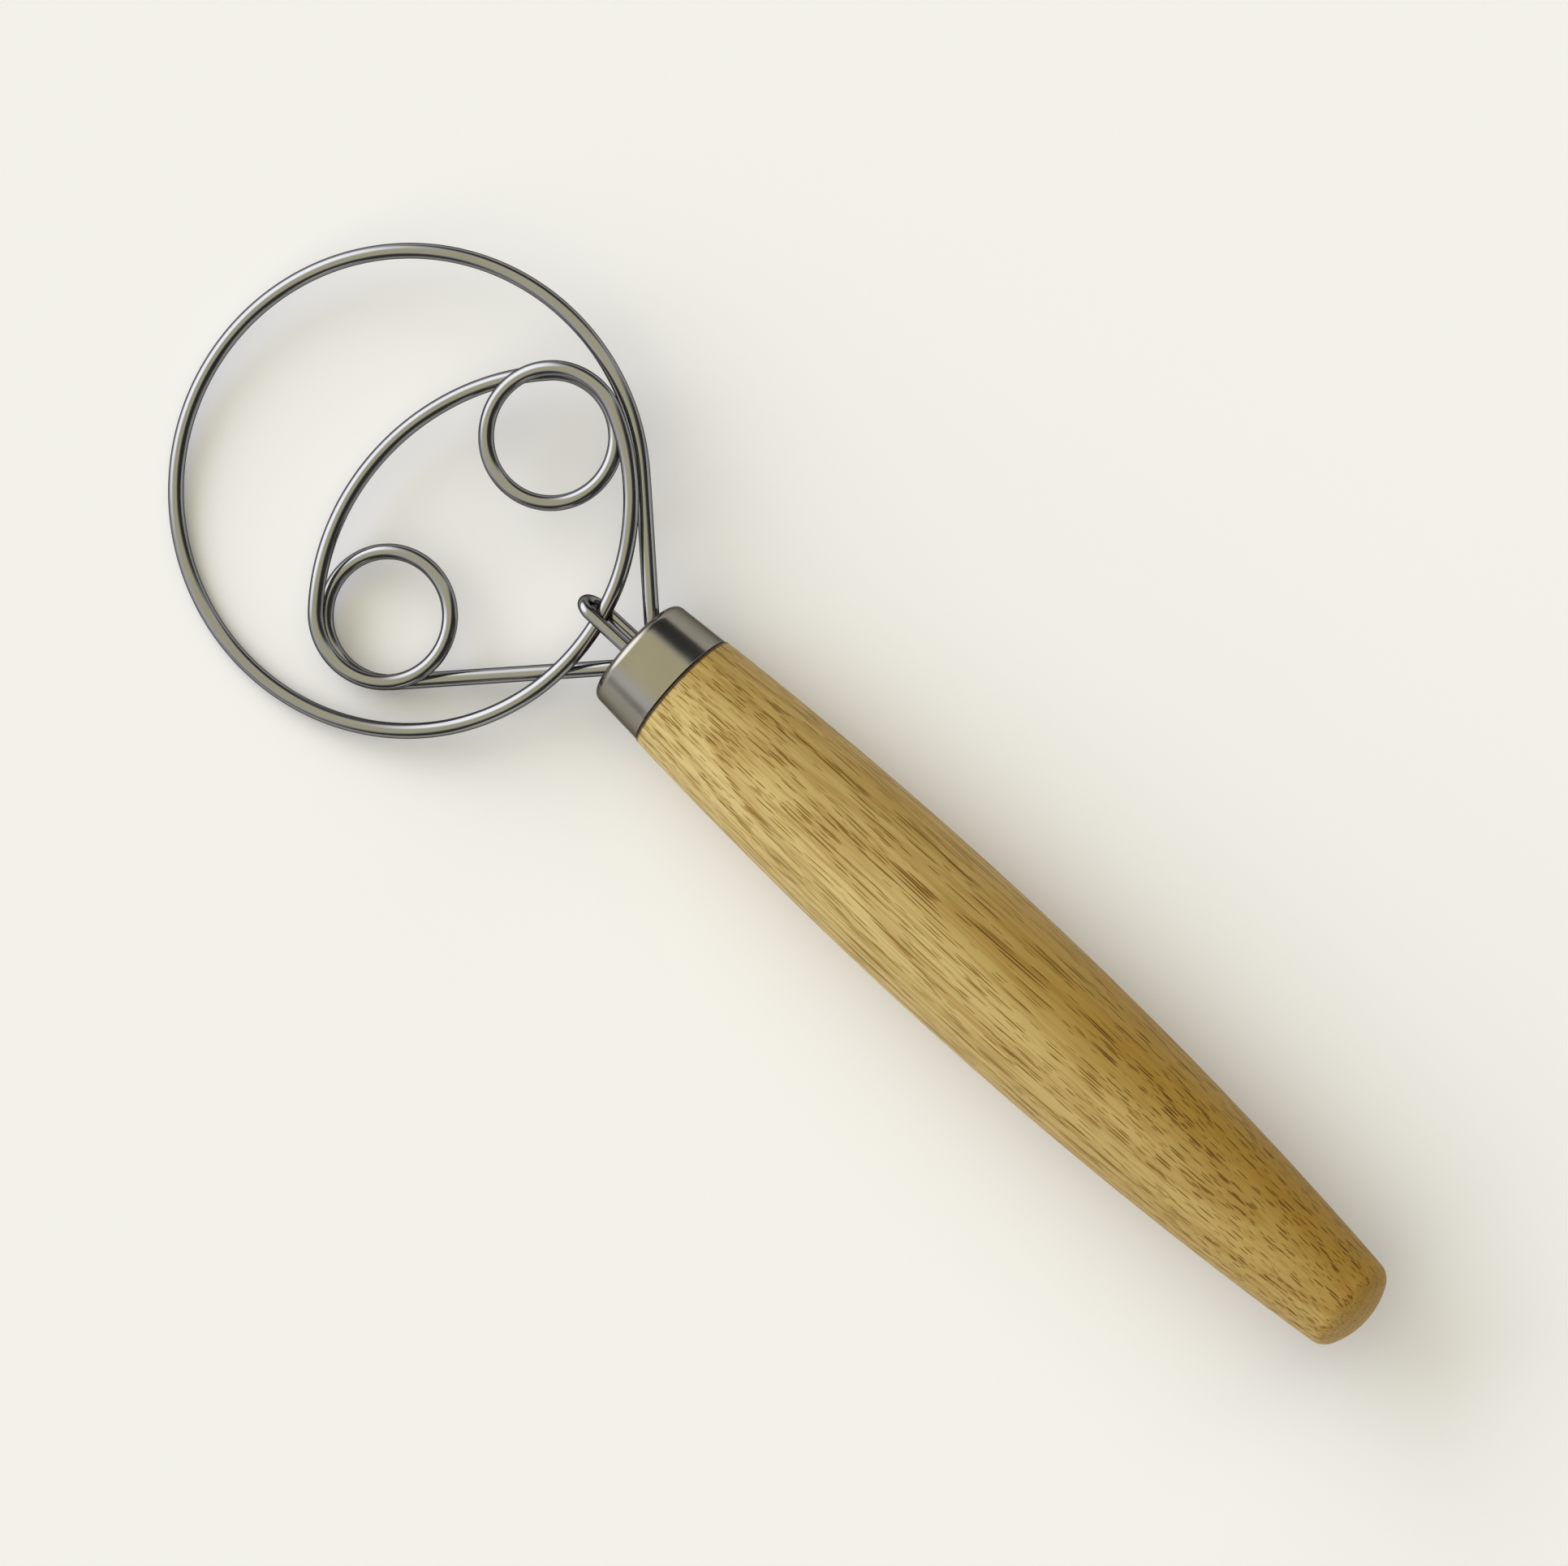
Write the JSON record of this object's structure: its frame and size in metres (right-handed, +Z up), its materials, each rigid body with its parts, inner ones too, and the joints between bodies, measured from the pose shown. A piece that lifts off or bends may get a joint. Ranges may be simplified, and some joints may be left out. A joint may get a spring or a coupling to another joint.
{
  "type": "dough whisk",
  "caption": "Dough whisk lying at rest: one stainless wire bent into a flat ring with an inner arch and small coils, a steel cap and a turned wooden handle.",
  "frame": {"origin": "on the table, under the middle of the whole whisk's bounding box", "axes": "+X along the handle, from the wire head to the wooden butt; +Z up from the table on which the whisk lies; +Y across it"},
  "size_m": [0.2392, 0.0772, 0.0267],
  "materials": {
    "wire": "bright drawn stainless wire",
    "cap": "drawn and buffed stainless sheet",
    "wood": "turned, sanded and lacquered golden hardwood",
    "potting": "cured clear amber potting resin"
  },
  "bodies": {
    "root": {"whisk_wire": "wire", "retaining_staple": "wire", "ferrule": "cap", "handle": "wood", "epoxy_plug": "potting"}
  },
  "joints": []
}
